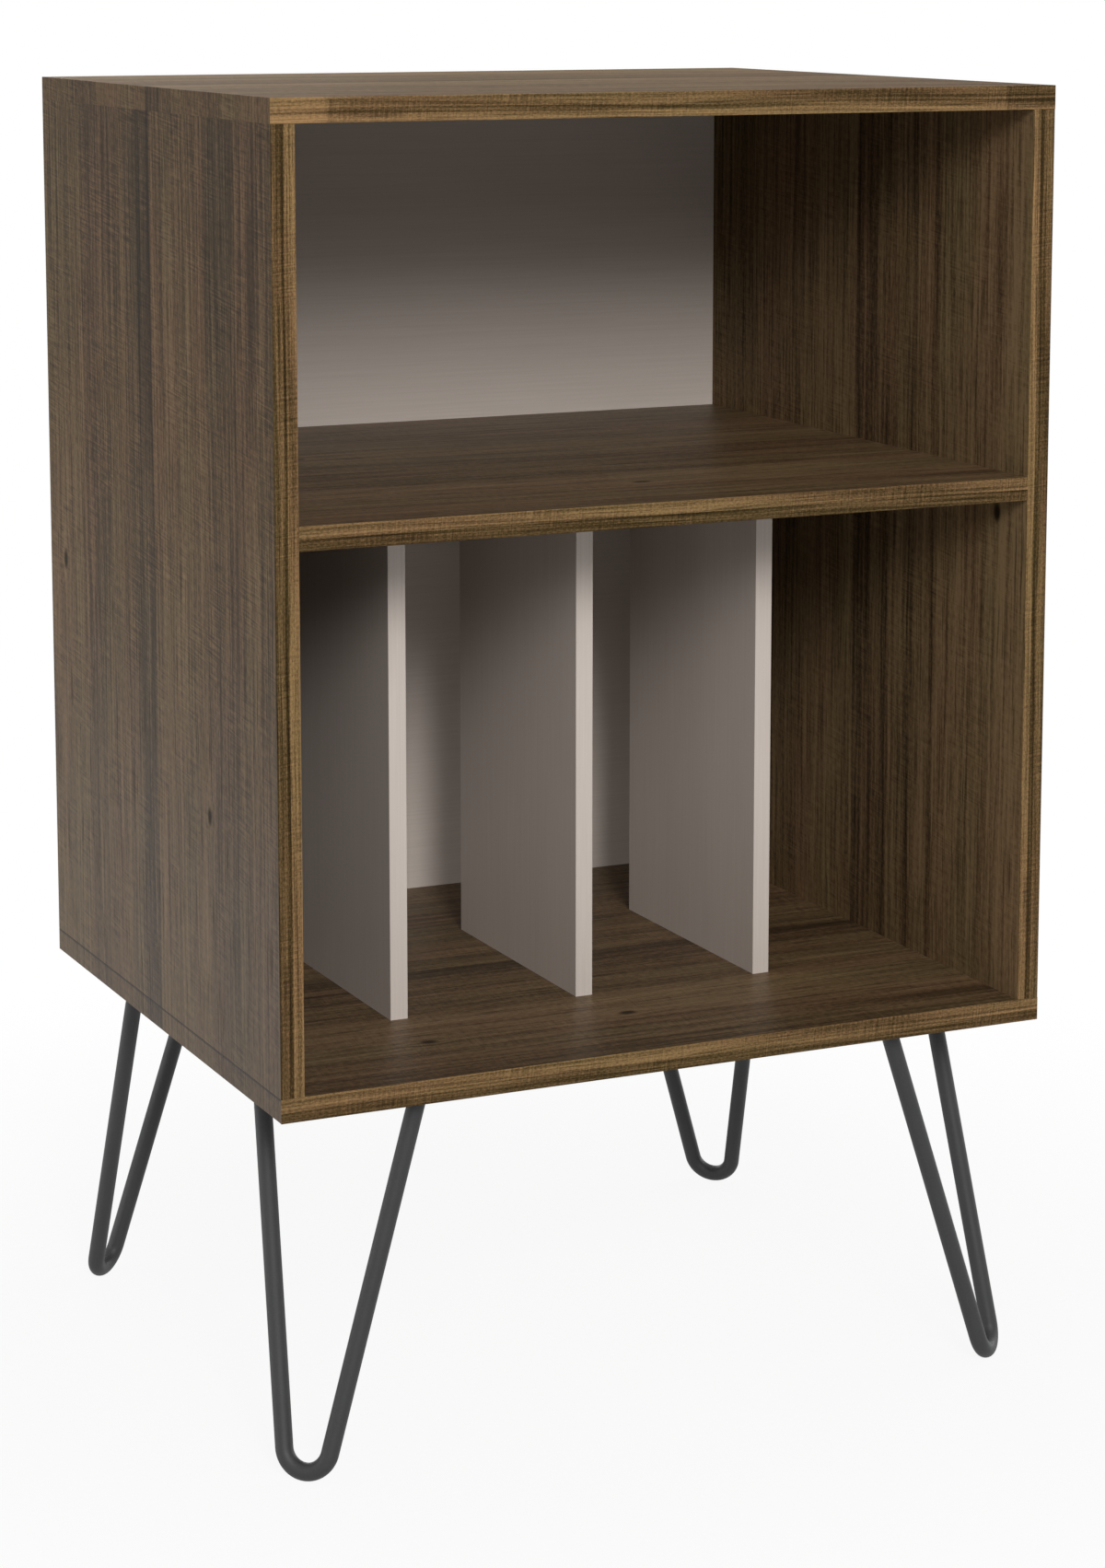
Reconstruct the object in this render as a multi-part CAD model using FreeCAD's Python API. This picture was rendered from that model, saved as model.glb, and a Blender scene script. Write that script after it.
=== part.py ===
"""Turntable stand: a laminated board cabinet with a player bay above a record bay, on four hairpin legs.

The cabinet is a knock-down carcass. The top and bottom panels run over the ends of the two side panels, a
fixed shelf parts the bays, three painted dividers stand in the record bay and a hardboard back is nailed to
the rear edges. Each leg is one bent steel rod welded to an L-shaped plate that is screwed to the bottom panel.

Frame: millimetres, +Z up, X across the width, the open front faces -Y, and the origin is on the floor under
the middle of the overall box.
"""

import FreeCAD
import Part

import math
import os

from FreeCAD import Placement, Rotation, Vector

# Overall sizes
overall_width = 595.0
overall_height = 950.0
carcass_depth = 494.0  # front face of the edge bands to the rear edges of the boards
leg_height = 264.5  # floor to the underside of the bottom panel
record_bay_height = 371.0  # clear height between the bottom panel and the shelf

# Boards, bands and the back
board = 17.0  # laminated particleboard of the carcass and the shelf
band = 0.8  # edge band glued to a sawn edge
band_arris = 0.5  # rounding of a band's long outer corners
closed_arris = 0.15  # the same where the joint beside it shows no line
back_thickness = 3.0
back_inset = 4.0  # the back stops short of the carcass outline all round

# Dividers
divider_thickness = 13.5
divider_depth = 212.0  # front band included
divider_setback = 144.0  # from the carcass front to the divider front
first_bay_width = 121.75  # clear width left of the first divider
divider_pitch = 147.6
divider_names = ("left_divider", "centre_divider", "right_divider")

# Hairpin legs
rod_diameter = 12.7
bend_radius = 17.5  # centreline of the bend at the foot
near_inset = 27.0  # rod to the nearer board edge, at the underside of the bottom panel
far_inset = 111.3  # rod to the farther board edge, at the same height
foot_inset = 23.2  # foot to both board edges
weld_leg = 2.5  # size of the weld bead around a rod
plate_thickness = 3.0
plate_arm_width = 30.0  # the rods stand on the middle line of the arms
plate_overhang = 15.0  # arm end beyond the rod
plate_corner_radius = 6.0
plate_arm_screws = 2  # on each arm, between the corner screw and the rod

# Fasteners
fit_gap = 0.1  # radial room of a fastener in its hole
end_gap = 0.5  # room at the blind end of a hole
cut_past = 1.0  # how far a cutter runs past the face that it opens
face_skin = 5.5  # board left over a blind hole in a board's face
leg_screw_diameter = 4.0
leg_screw_grip = 11.0  # length of a leg screw inside the bottom panel
leg_screw_head_diameter = 8.0
leg_screw_head_height = 2.4
leg_screw_head_rim = 1.1  # straight part of the head's height
leg_screw_head_flat = 4.4  # diameter of the head's flat top
dowel_diameter = 8.0
dowel_length = 30.0
dowel_chamfer = 1.0
dowel_inset = 105.0  # dowels to the front and rear edges
cam_inset = 70.0  # cam locks to the front and rear edges
cam_diameter = 15.0
cam_reach = 34.0  # joint face to the middle of a cam
cam_floor = 0.6  # cam body behind the bolt channel
cam_channel = 7.2  # width of the channel that takes the bolt's head
cam_slot_width = 1.6
cam_slot_length = 8.0
cam_slot_depth = 2.0
cam_cover_diameter = 19.0
cam_cover_thickness = 0.3
bolt_thread_diameter = 5.0
bolt_shank_diameter = 6.0
bolt_neck_diameter = 3.6
bolt_head_diameter = 6.6
bolt_head_length = 3.0
bolt_neck_length = 4.0
euro_inset = 160.0  # carcass screws to the front and rear edges
euro_diameter = 6.4
euro_head_diameter = 10.0
euro_head_depth = 3.0
euro_length = 50.0
divider_fixing_inset = 40.0  # divider screws and dowels to the divider's ends
divider_screw_diameter = 4.0
divider_screw_head_diameter = 8.0
divider_screw_length = 45.0
divider_dowel_diameter = 6.0
divider_dowel_length = 25.0
nail_diameter = 1.6
nail_head_diameter = 4.0
nail_head_thickness = 0.8
nail_length = 20.0
nail_end_inset = 34.0  # first nail of a row to the inner faces of the boards that cross it
nails_per_side = 5
nails_per_cross_board = 4

# Places worked out from the sizes
half_width = overall_width / 2
inner_half = half_width - board
front_y = -(carcass_depth + back_thickness) / 2
rear_y = front_y + carcass_depth
core_front_y = front_y + band
bottom_under = leg_height
bottom_top = bottom_under + board
shelf_under = bottom_top + record_bay_height
shelf_top = shelf_under + board
top_under = overall_height - board
divider_front_y = front_y + divider_setback
divider_rear_y = divider_front_y + divider_depth
rod_radius = rod_diameter / 2
plate_inset = near_inset - plate_arm_width / 2
plate_under = leg_height - plate_thickness
face_depth = board - face_skin
cam_depth = board / 2 + cam_channel / 2 + cam_floor
dowel_size = (dowel_diameter, dowel_length)
divider_dowel_size = (divider_dowel_diameter, divider_dowel_length)
UP = Vector(0, 0, 1)
DOWN = Vector(0, 0, -1)
BACK = Vector(0, 1, 0)
RIGHT = Vector(1, 0, 0)

pieces = {}


def block(x0, x1, y0, y1, z0, z1):
    """A square-cornered board between two corners."""
    return Part.makeBox(x1 - x0, y1 - y0, z1 - z0, Vector(x0, y0, z0))


def turned(outline, base, axis):
    """A solid of revolution. The outline lists (radius, distance along the axis from the base)."""
    points = [Vector(radius, 0, along) for radius, along in outline]
    ends = [Vector(0, 0, outline[-1][1]), Vector(0, 0, outline[0][1])]
    points += [end for end in ends if end.distanceToPoint(points[-1]) > 0]
    if points[-1].distanceToPoint(points[0]) > 0:
        points.append(points[0])
    solid = Part.Face(Part.makePolygon(points)).revolve(Vector(), UP, 360)
    solid.Placement = Placement(base, Rotation(UP, axis))
    return solid


def straight_hole(diameter, base, axis, length):
    """The drill that makes a round hole from the base along the axis, with running room."""
    return Part.makeCylinder(diameter / 2 + fit_gap, length, base, axis)


def drill(name, tools):
    """Cuts holes in a piece that is already made."""
    pieces[name] = pieces[name].cut(tools)


def group(name, solids):
    """Like fasteners share one node, each still its own solid."""
    pieces[name] = Part.makeCompound(solids)


def rounded_along(solid, direction, corner_radii):
    """Rounds the edges that run along a direction. corner_radii lists (point on the edge, radius)."""
    for corner, radius in corner_radii:
        parallel = [e for e in solid.Edges if abs(e.tangentAt(e.FirstParameter).dot(direction)) > 0.999]
        edge = min(parallel, key=lambda e: e.CenterOfMass.distanceToLine(corner, direction))
        solid = solid.makeFillet(radius, [edge])
    return solid


def from_edges(inset):
    """The two places that lie that far from the front and the rear edge of the carcass."""
    return front_y + inset, rear_y - inset


def carcass_panels():
    """Top, bottom, two sides, the shelf and the back, before drilling."""
    core_half = half_width - band
    for name, z0 in (("top_panel", top_under), ("bottom_panel", bottom_under)):
        pieces[name] = block(-core_half, core_half, core_front_y, rear_y, z0, z0 + board)
    pieces["left_side_panel"] = block(-half_width, -inner_half, core_front_y, rear_y, bottom_top, top_under)
    pieces["right_side_panel"] = block(inner_half, half_width, core_front_y, rear_y, bottom_top, top_under)
    pieces["middle_shelf"] = block(-inner_half, inner_half, core_front_y, rear_y, shelf_under, shelf_top)
    pieces["back_panel"] = block(
        -half_width + back_inset,
        half_width - back_inset,
        rear_y,
        rear_y + back_thickness,
        bottom_under + back_inset,
        overall_height - back_inset,
    )


def front_band(x0, x1, y, z0, z1, long_axis):
    """A band on a front edge, with its two long outer corners rounded."""
    solid = block(x0, x1, y, y + band, z0, z1)
    corners = ((x0, z0), (x0, z1)) if long_axis.x else ((x0, z0), (x1, z0))
    return rounded_along(solid, long_axis, [(Vector(x, y, z), band_arris) for x, z in corners])


def end_band(side, z0, lower_arris, upper_arris):
    """A band on the left (-1) or right (1) end of the top or bottom panel."""
    outer, inner = side * half_width, side * (half_width - band)
    solid = block(min(outer, inner), max(outer, inner), core_front_y, rear_y, z0, z0 + board)
    corners = [
        (Vector(outer, core_front_y, z0), lower_arris),
        (Vector(outer, core_front_y, z0 + board), upper_arris),
    ]
    return rounded_along(solid, BACK, corners)


def edge_bands():
    """Bands on every sawn edge that shows."""
    for name, z0 in (("top", top_under), ("bottom", bottom_under)):
        front = front_band(-half_width, half_width, front_y, z0, z0 + board, RIGHT)
        pieces[name + "_front_edge_band"] = front
    for name, side in (("left", -1), ("right", 1)):
        pieces[f"top_{name}_edge_band"] = end_band(side, top_under, closed_arris, band_arris)
        pieces[f"bottom_{name}_edge_band"] = end_band(side, bottom_under, band_arris, band_arris)
        x0, x1 = sorted((side * half_width, side * inner_half))
        pieces[name + "_side_front_edge_band"] = front_band(x0, x1, front_y, bottom_top, top_under, UP)
    shelf_band = front_band(-inner_half, inner_half, front_y, shelf_under, shelf_top, RIGHT)
    pieces["shelf_front_edge_band"] = shelf_band


def divider_middles():
    """The middle of each divider across the width, from the left."""
    first = -inner_half + first_bay_width + divider_thickness / 2
    return [first + divider_pitch * k for k in range(len(divider_names))]


def dividers():
    """Three painted dividers between the bottom panel and the shelf, each with a banded front edge."""
    for name, middle in zip(divider_names, divider_middles()):
        x0, x1 = middle - divider_thickness / 2, middle + divider_thickness / 2
        pieces[name] = block(x0, x1, divider_front_y + band, divider_rear_y, bottom_top, shelf_under)
        pieces[name + "_edge_band"] = front_band(x0, x1, divider_front_y, bottom_top, shelf_under, UP)


def dowel(diameter, length, base, axis):
    """A round wooden dowel with chamfered ends."""
    radius = diameter / 2
    outline = [
        (radius - dowel_chamfer, 0),
        (radius, dowel_chamfer),
        (radius, length - dowel_chamfer),
        (radius - dowel_chamfer, length),
    ]
    return turned(outline, base, axis)


def dowel_joint(face_board, end_board, diameter, length, joint_point, into_end):
    """A dowel partly in a board's face and partly in another board's end. into_end points into the end."""
    base = joint_point - into_end * face_depth
    drill(face_board, straight_hole(diameter, base - into_end * end_gap, into_end, face_depth + end_gap))
    drill(end_board, straight_hole(diameter, joint_point, into_end, length - face_depth + end_gap))
    return dowel(diameter, length, base, into_end)


def cam_bolt(joint_point, into_end):
    """A bolt screwed into a board's face, with its head in the middle of a cam in the other board."""
    head_end = face_depth + cam_reach + bolt_head_length / 2
    neck_end = head_end - bolt_head_length
    neck_start = neck_end - bolt_neck_length
    outline = [
        (bolt_thread_diameter / 2, 0),
        (bolt_thread_diameter / 2, face_depth),
        (bolt_shank_diameter / 2, face_depth),
        (bolt_shank_diameter / 2, neck_start),
        (bolt_neck_diameter / 2, neck_start),
        (bolt_neck_diameter / 2, neck_end),
        (bolt_head_diameter / 2, neck_end),
        (bolt_head_diameter / 2, head_end),
    ]
    return turned(outline, joint_point - into_end * face_depth, into_end)


def cam_lock(middle, outward, to_joint):
    """A cam body whose slotted face shows at the board's face. Its channel opens towards the joint."""
    radius, half = cam_diameter / 2, cam_channel / 2
    body = Part.makeCylinder(radius, cam_depth, Vector(0, 0, -cam_depth), UP)
    channel = block(-half, radius + cut_past, -half, half, -board / 2 - half, -board / 2 + half)
    arm, width = cam_slot_length / 2, cam_slot_width / 2
    slot = block(-arm, arm, -width, width, -cam_slot_depth, cut_past)
    cross_slot = block(-width, width, -arm, arm, -cam_slot_depth, cut_past)
    body = body.cut([channel, slot, cross_slot])
    body.Placement = Placement(middle, Rotation(to_joint, outward.cross(to_joint), outward, "ZXY"))
    return body


def cam_joint(face_board, end_board, joint_point, into_end, outward):
    """A cam lock in one board's end, pulled up on a bolt in the other board's face. Returns (bolt, cam)."""
    thread_end = joint_point - into_end * face_depth
    drill(face_board, straight_hole(bolt_thread_diameter, thread_end, into_end, face_depth))
    drill(end_board, straight_hole(bolt_head_diameter, joint_point, into_end, cam_reach))
    face_middle = joint_point + into_end * cam_reach + outward * (board / 2)
    drill(end_board, straight_hole(cam_diameter, face_middle, outward * -1, cam_depth + fit_gap))
    return cam_bolt(joint_point, into_end), cam_lock(face_middle, outward, into_end * -1)


def top_joints():
    """Cam locks and dowels between the top panel and the two sides, with covers over the cams."""
    bolts, cams, covers, dowels = [], [], [], []
    for side_name, side in (("left_side_panel", -1), ("right_side_panel", 1)):
        middle, inward = side * (half_width - board / 2), Vector(-side, 0, 0)
        for y in from_edges(cam_inset):
            bolt, cam = cam_joint("top_panel", side_name, Vector(middle, y, top_under), DOWN, inward)
            bolts.append(bolt)
            cams.append(cam)
            seat = Vector(side * inner_half, y, top_under - cam_reach)
            covers.append(Part.makeCylinder(cam_cover_diameter / 2, cam_cover_thickness, seat, inward))
        for y in from_edges(dowel_inset):
            joint_point = Vector(middle, y, top_under)
            dowels.append(dowel_joint("top_panel", side_name, *dowel_size, joint_point, DOWN))
    group("top_cam_bolts", bolts)
    group("top_cam_locks", cams)
    group("cam_cover_caps", covers)
    group("top_dowels", dowels)


def shelf_joints():
    """Cam locks in the shelf's underside, and dowels, between the shelf and the two sides."""
    bolts, cams, dowels = [], [], []
    middle_z = shelf_under + board / 2
    for side_name, side in (("left_side_panel", -1), ("right_side_panel", 1)):
        inward = Vector(-side, 0, 0)
        for y in from_edges(cam_inset):
            joint_point = Vector(side * inner_half, y, middle_z)
            bolt, cam = cam_joint(side_name, "middle_shelf", joint_point, inward, DOWN)
            bolts.append(bolt)
            cams.append(cam)
        for y in from_edges(dowel_inset):
            joint_point = Vector(side * inner_half, y, middle_z)
            dowels.append(dowel_joint(side_name, "middle_shelf", *dowel_size, joint_point, inward))
    group("shelf_cam_bolts", bolts)
    group("shelf_cam_locks", cams)
    group("shelf_dowels", dowels)


def countersunk_screw(diameter, head_diameter, head_depth, length, base, axis):
    """A screw with a flat head that sits flush at the base, and a pointed end."""
    shank, head = diameter / 2, head_diameter / 2
    outline = [(head, 0), (shank, head_depth), (shank, length - diameter), (0, length)]
    return turned(outline, base, axis)


def countersunk_hole(diameter, head_diameter, head_depth, length, base, axis):
    """The drill for a countersunk screw: the same outline, larger by the running room."""
    shank, head = diameter / 2 + fit_gap, head_diameter / 2 + fit_gap
    return turned([(head, 0), (shank, head_depth), (shank, length)], base, axis)


def bottom_joints():
    """Long carcass screws up through the bottom panel, and dowels, into the lower ends of the sides."""
    screws, dowels = [], []
    for side_name, side in (("left_side_panel", -1), ("right_side_panel", 1)):
        middle = side * (half_width - board / 2)
        for y in from_edges(euro_inset):
            head = Vector(middle, y, bottom_under)
            sizes = (euro_diameter, euro_head_diameter, euro_head_depth)
            screws.append(countersunk_screw(*sizes, euro_length, head, UP))
            hole = countersunk_hole(*sizes, euro_length + end_gap, head, UP)
            drill("bottom_panel", hole)
            drill(side_name, hole)
        for y in from_edges(dowel_inset):
            joint_point = Vector(middle, y, bottom_top)
            dowels.append(dowel_joint("bottom_panel", side_name, *dowel_size, joint_point, UP))
    group("bottom_carcass_screws", screws)
    group("bottom_dowels", dowels)


def divider_joints():
    """Screws up through the bottom panel and dowels in the shelf hold each divider at two places."""
    screws, dowels = [], []
    head_depth = (divider_screw_head_diameter - divider_screw_diameter) / 2
    sizes = (divider_screw_diameter, divider_screw_head_diameter, head_depth)
    for name, middle in zip(divider_names, divider_middles()):
        for y in (divider_front_y + divider_fixing_inset, divider_rear_y - divider_fixing_inset):
            head = Vector(middle, y, bottom_under)
            screws.append(countersunk_screw(*sizes, divider_screw_length, head, UP))
            hole = countersunk_hole(*sizes, divider_screw_length + end_gap, head, UP)
            drill("bottom_panel", hole)
            drill(name, hole)
            joint_point = Vector(middle, y, shelf_under)
            dowels.append(dowel_joint("middle_shelf", name, *divider_dowel_size, joint_point, DOWN))
    group("divider_screws", screws)
    group("divider_dowels", dowels)


def evenly(low, high, count):
    """Places spaced evenly from low to high, both included."""
    return [low + (high - low) * k / (count - 1) for k in range(count)]


def back_nails():
    """Nails through the back into the rear edges of the sides, top, bottom and shelf."""
    edge_x = half_width - board / 2
    inner_x = inner_half - nail_end_inset
    places = []
    for side_name, side in (("left_side_panel", -1), ("right_side_panel", 1)):
        heights = evenly(bottom_top + nail_end_inset, top_under - nail_end_inset, nails_per_side)
        places += [(side_name, side * edge_x, z) for z in heights]
    cross_boards = (("bottom_panel", bottom_under), ("middle_shelf", shelf_under), ("top_panel", top_under))
    for name, z0 in cross_boards:
        places += [(name, x, z0 + board / 2) for x in evenly(-inner_x, inner_x, nails_per_cross_board)]
    nails = []
    shank, head = nail_diameter / 2, nail_head_diameter / 2
    for name, x, z in places:
        base = Vector(x, rear_y + back_thickness, z)
        forward = BACK * -1
        outline = [(head, 0), (head, nail_head_thickness), (shank, nail_head_thickness)]
        outline += [(shank, nail_length - nail_diameter), (0, nail_length)]
        nails.append(turned(outline, base, forward))
        hole = [straight_hole(nail_diameter, base, forward, nail_length + end_gap)]
        hole.append(straight_hole(nail_head_diameter, base, forward, nail_head_thickness))
        drill("back_panel", hole)
        drill(name, hole[0])
    group("back_panel_nails", nails)


def corner_point(side, end, from_side, from_end, z):
    """A point near a corner of the bottom panel, by its distances from that corner's two edges."""
    y = front_y + from_end if end < 0 else rear_y - from_end
    return Vector(side * (half_width - from_side), y, z)


def hairpin_rod(side, end):
    """One rod bent into a hairpin. It leans out along the corner's diagonal and stands on its bend.

    In the leg's own plane the foot is at (0, 0), the bend's middle at (0, bend_radius) and each rod top at
    (half span, rise). Each straight leaves the bend where the line from the rod top touches the circle.
    """
    top_a = corner_point(side, end, near_inset, far_inset, leg_height)
    top_b = corner_point(side, end, far_inset, near_inset, leg_height)
    foot = corner_point(side, end, foot_inset, foot_inset, rod_radius)
    middle = (top_a + top_b) * 0.5
    across = (top_b - top_a).normalize()
    along = middle - foot
    rise, half_span = along.Length, top_a.distanceToPoint(top_b) / 2
    along.normalize()
    to_top = math.atan2(rise - bend_radius, half_span)
    tangent = to_top - math.acos(bend_radius / math.hypot(rise - bend_radius, half_span))
    run, height = bend_radius * math.cos(tangent), bend_radius * (1 + math.sin(tangent))
    bend_a, bend_b = foot + along * height - across * run, foot + along * height + across * run
    path = Part.Wire([
        Part.LineSegment(top_a, bend_a).toShape(),
        Part.Arc(bend_a, foot, bend_b).toShape(),
        Part.LineSegment(bend_b, top_b).toShape(),
    ])
    section = Part.Wire([Part.makeCircle(rod_radius, top_a, bend_a - top_a)])
    rod = path.makePipeShell([section], True, False)
    for top, bend in ((top_a, bend_a), (top_b, bend_b)):
        down_the_rod = (bend - top).normalize()
        bead_length = plate_thickness / abs(down_the_rod.z) + 2 * weld_leg
        bead_foot = rod_radius + bead_length / 2
        rod = rod.fuse(Part.makeCone(bead_foot, rod_radius, bead_length, top, down_the_rod))
    reach = overall_width + carcass_depth
    above = block(-reach, reach, -reach, reach, plate_under, overall_height)
    return rod.cut(above).removeSplitter()


def plate_hole_places():
    """Screw places on an L plate, as distances from the corner's two edges: in the corner and on the arms."""
    pitch = (far_inset - near_inset) / (plate_arm_screws + 1)
    places = [(near_inset, near_inset)]
    for k in range(plate_arm_screws):
        along = near_inset + (k + 1) * pitch
        places += [(near_inset, along), (along, near_inset)]
    return places


def leg_plate(side, end):
    """An L-shaped steel plate with rounded corners and round screw holes."""
    outer, inner = plate_inset, plate_inset + plate_arm_width
    tip = far_inset + plate_overhang
    outline = [(outer, outer), (tip, outer), (tip, inner), (inner, inner), (inner, tip), (outer, tip)]
    points = [corner_point(side, end, a, b, plate_under) for a, b in outline]
    face = Part.Face(Part.makePolygon(points + points[:1]))
    plate = face.extrude(UP * plate_thickness)
    uprights = [e for e in plate.Edges if abs(e.tangentAt(e.FirstParameter).z) > 0.999]
    plate = plate.makeFillet(plate_corner_radius, uprights)
    bases = [corner_point(side, end, a, b, plate_under) for a, b in plate_hole_places()]
    return plate.cut([straight_hole(leg_screw_diameter, base, UP, plate_thickness) for base in bases])


def leg_screws(side, end):
    """Pan-head screws through a leg plate into the bottom panel."""
    screws = []
    radius, head = leg_screw_diameter / 2, leg_screw_head_diameter / 2
    length = plate_thickness + leg_screw_grip
    outline = [(leg_screw_head_flat / 2, -leg_screw_head_height), (head, -leg_screw_head_rim), (head, 0)]
    outline += [(radius, 0), (radius, length - leg_screw_diameter), (0, length)]
    for a, b in plate_hole_places():
        seat = corner_point(side, end, a, b, plate_under)
        screws.append(turned(outline, seat, UP))
        drill("bottom_panel", straight_hole(leg_screw_diameter, seat, UP, length + end_gap))
    return screws


def legs():
    """Four legs, each a rod, a plate and its screws."""
    for end_name, end in (("front", -1), ("rear", 1)):
        for side_name, side in (("left", -1), ("right", 1)):
            name = f"{end_name}_{side_name}"
            pieces[name + "_hairpin_rod"] = hairpin_rod(side, end)
            pieces[name + "_leg_plate"] = leg_plate(side, end)
            group(name + "_leg_screws", leg_screws(side, end))


def export():
    """Writes each piece to its own STEP file and prints what it holds."""
    os.makedirs("parts", exist_ok=True)
    for name in sorted(pieces):
        shape = pieces[name]
        if not shape.isValid() or not shape.Solids:
            raise ValueError(f"{name} is not a valid solid")
        shape.exportStep(f"parts/{name}.step")
        print(f"{name}: {len(shape.Solids)} solid(s), {shape.Volume / 1000:.2f} cm3")


carcass_panels()
edge_bands()
dividers()
top_joints()
shelf_joints()
bottom_joints()
divider_joints()
back_nails()
legs()
export()
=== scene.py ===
"""Finish of a turntable stand: wood-look boards, taupe dividers and back, black hairpin legs, and a studio.

The file is laid out as an add-on and is run as a script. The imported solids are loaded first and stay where
they are. Operators then give each group of pieces its finish, sweep the legs' rods as smooth tubes, and set
the stage. Lengths are in metres, unless a name or a docstring says millimetres.
"""

import math

import bpy
import numpy as np
from bpy.props import FloatProperty, FloatVectorProperty, PointerProperty
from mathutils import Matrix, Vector


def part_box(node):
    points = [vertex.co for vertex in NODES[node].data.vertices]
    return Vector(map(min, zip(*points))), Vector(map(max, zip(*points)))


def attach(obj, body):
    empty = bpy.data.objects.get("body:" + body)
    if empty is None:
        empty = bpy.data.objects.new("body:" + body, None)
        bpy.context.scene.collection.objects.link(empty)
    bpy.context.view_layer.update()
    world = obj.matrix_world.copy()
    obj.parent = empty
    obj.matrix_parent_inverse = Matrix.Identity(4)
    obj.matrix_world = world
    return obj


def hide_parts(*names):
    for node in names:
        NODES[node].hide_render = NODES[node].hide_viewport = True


bl_info = {
    "name": "Turntable stand finish",
    "version": (1, 0, 0),
    "blender": (4, 5, 0),
    "location": "3D View > Sidebar > Stand",
    "description": "Gives the solids of a turntable stand their finishes, smooth legs and a studio",
    "category": "Object",
}

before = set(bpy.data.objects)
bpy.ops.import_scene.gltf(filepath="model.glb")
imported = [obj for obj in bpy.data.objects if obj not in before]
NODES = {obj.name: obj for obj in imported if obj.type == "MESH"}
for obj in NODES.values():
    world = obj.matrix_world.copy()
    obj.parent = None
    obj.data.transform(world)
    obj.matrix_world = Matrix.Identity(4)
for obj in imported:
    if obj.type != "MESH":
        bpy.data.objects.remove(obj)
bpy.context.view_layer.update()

MM = 0.001
WHITE = (1.0, 1.0, 1.0, 1.0)

# The carcass outline, read from the frame
FRONT_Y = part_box("top_front_edge_band")[0].y
REAR_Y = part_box("bottom_panel")[1].y
LEFT_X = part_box("bottom_left_edge_band")[0].x
RIGHT_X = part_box("bottom_right_edge_band")[1].x
UNDERSIDE_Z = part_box("bottom_panel")[0].z
PLATE_UNDERSIDE_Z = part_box("front_left_leg_plate")[0].z
DEPTH_MM = (REAR_Y - FRONT_Y) / MM

# The corners over the legs: the places of the two board edges, and the way in from each
CORNERS = {
    "front_left": (LEFT_X, FRONT_Y, 1, 1),
    "front_right": (RIGHT_X, FRONT_Y, -1, 1),
    "rear_left": (LEFT_X, REAR_Y, 1, -1),
    "rear_right": (RIGHT_X, REAR_Y, -1, -1),
}


def linear(hex_colour):
    """Linear red, green and blue of an sRGB hex colour."""
    channels = np.array([int(hex_colour[k:k + 2], 16) for k in (1, 3, 5)]) / 255
    curved = ((channels + 0.055) / 1.055) ** 2.4
    return tuple(np.where(channels <= 0.04045, channels / 12.92, curved).tolist())


def rgba(colour):
    """A colour property as an opaque socket value."""
    return (*colour, 1.0)


def length(name, description, default_mm):
    """A length property whose default is given in millimetres."""
    default = default_mm * MM
    return FloatProperty(name=name, description=description, default=default, unit="LENGTH", min=0.0)


def colour(name, description, hex_colour):
    """A colour property whose default is an sRGB hex colour."""
    return FloatVectorProperty(
        name=name, description=description, default=linear(hex_colour), subtype="COLOR", min=0.0, max=1.0
    )


def factor(name, description, default):
    """A plain number from 0 to 1."""
    return FloatProperty(
        name=name, description=description, default=default, subtype="FACTOR", min=0.0, max=1.0
    )


def power(name, description, default):
    """A lamp's power in watts."""
    return FloatProperty(name=name, description=description, default=default, unit="POWER", min=0.0)


class LaminateFinish(bpy.types.PropertyGroup):
    """Printed wood-look laminate on the carcass boards."""

    streak: colour("Dark streaks", "Darkest lines of the printed grain", "#271e13")
    dark: colour("Dark grain", "Shaded part of the grain", "#493a29")
    middle: colour("Wood", "Main colour of the print", "#68543d")
    light: colour("Light grain", "Palest part of the grain", "#897355")
    rosy: colour("Rosy tint", "Multiplies the redder planks", "#fff6f3")
    olive: colour("Olive tint", "Multiplies the greener planks", "#f6f9ef")
    # Painted sheen: this grey stands in for the white floor's reflection on the foot of the left side
    grey: colour("Grey haze", "Greyed part of the print", "#726e6b")
    # Printed pores are a fraction of a millimetre wide. The lines are drawn coarser, so that they show.
    grain: length("Grain line", "Width of a fine grain line", 2.6)
    run: length("Grain run", "Usual length of a streak", 240.0)
    saw_mark: length("Saw mark", "Width of the faint marks across the grain", 2.8)
    saw_depth: factor("Saw mark depth", "How strongly the marks show", 0.8)
    roughness: factor("Roughness", "Satin of the pressed surface", 0.5)


class EdgeBandFinish(bpy.types.PropertyGroup):
    """Wood-look bands, more golden and more streaked than the boards."""

    streak: colour("Dark streaks", "Darkest lines along the band", "#1c1408")
    dark: colour("Dark grain", "Shaded part of the band", "#40331c")
    middle: colour("Wood", "Main colour of the band", "#645036")
    light: colour("Light grain", "Palest part of the band", "#9a7d57")
    rosy: colour("Rosy tint", "Multiplies the redder parts", "#fff6f3")
    olive: colour("Olive tint", "Multiplies the greener parts", "#f6f9ec")
    # Drawn coarser than the printed pores, as on the boards
    grain: length("Grain line", "Width of a fine grain line", 1.1)
    run: length("Grain run", "Usual length of a streak", 200.0)
    saw_mark: length("Saw mark", "Width of the faint marks across the grain", 2.0)
    saw_depth: factor("Saw mark depth", "How strongly the marks show", 0.6)
    roughness: factor("Roughness", "Satin of the band", 0.45)


class TaupeFinish(bpy.types.PropertyGroup):
    """Matte taupe foil on the dividers and on the front of the back panel."""

    foil: colour("Foil", "Main colour of the foil", "#cdc2b9")
    brushed: colour("Brush lines", "Colour of the fine lines in the foil", "#c1b6ad")
    # The foil's own lines are too fine for the render, so they are drawn as coarse as they need to show
    line: length("Brush line spacing", "Distance between the fine lines", 1.2)
    roughness: factor("Roughness", "Matte of the foil", 0.5)


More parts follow.
